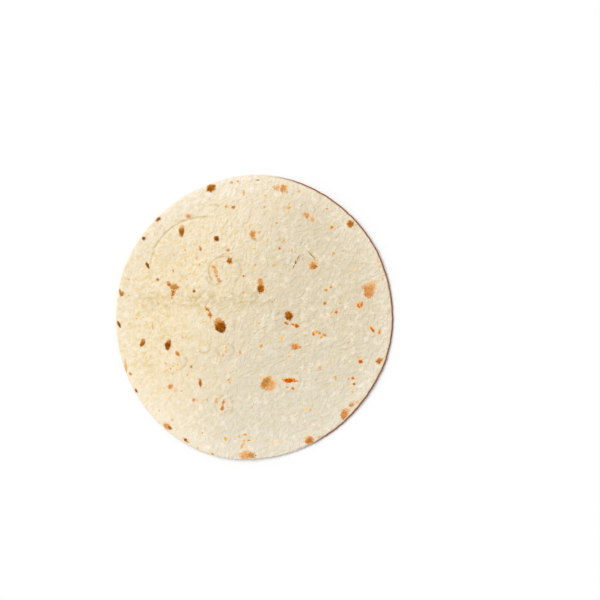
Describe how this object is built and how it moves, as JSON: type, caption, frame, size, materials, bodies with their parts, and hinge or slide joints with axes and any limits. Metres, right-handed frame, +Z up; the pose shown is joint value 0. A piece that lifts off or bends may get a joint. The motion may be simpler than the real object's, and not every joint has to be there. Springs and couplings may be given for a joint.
{
  "type": "flour tortilla",
  "caption": "Round, thin flour tortilla, griddle baked, with toasted marks and a rim that curls up a little; lies flat on a plate, board or table.",
  "frame": {"origin": "on the surface that the tortilla lies on, under the middle of its outline", "axes": "+Z up, out of the shown face; +X and +Y across the disc, which has no front of its own"},
  "size_m": [0.2472, 0.2536, 0.0056],
  "materials": {
    "baked_dough": "matt, floury, pale cream with brown toasted marks"
  },
  "bodies": {
    "root": {"tortilla": "baked_dough"}
  },
  "joints": []
}
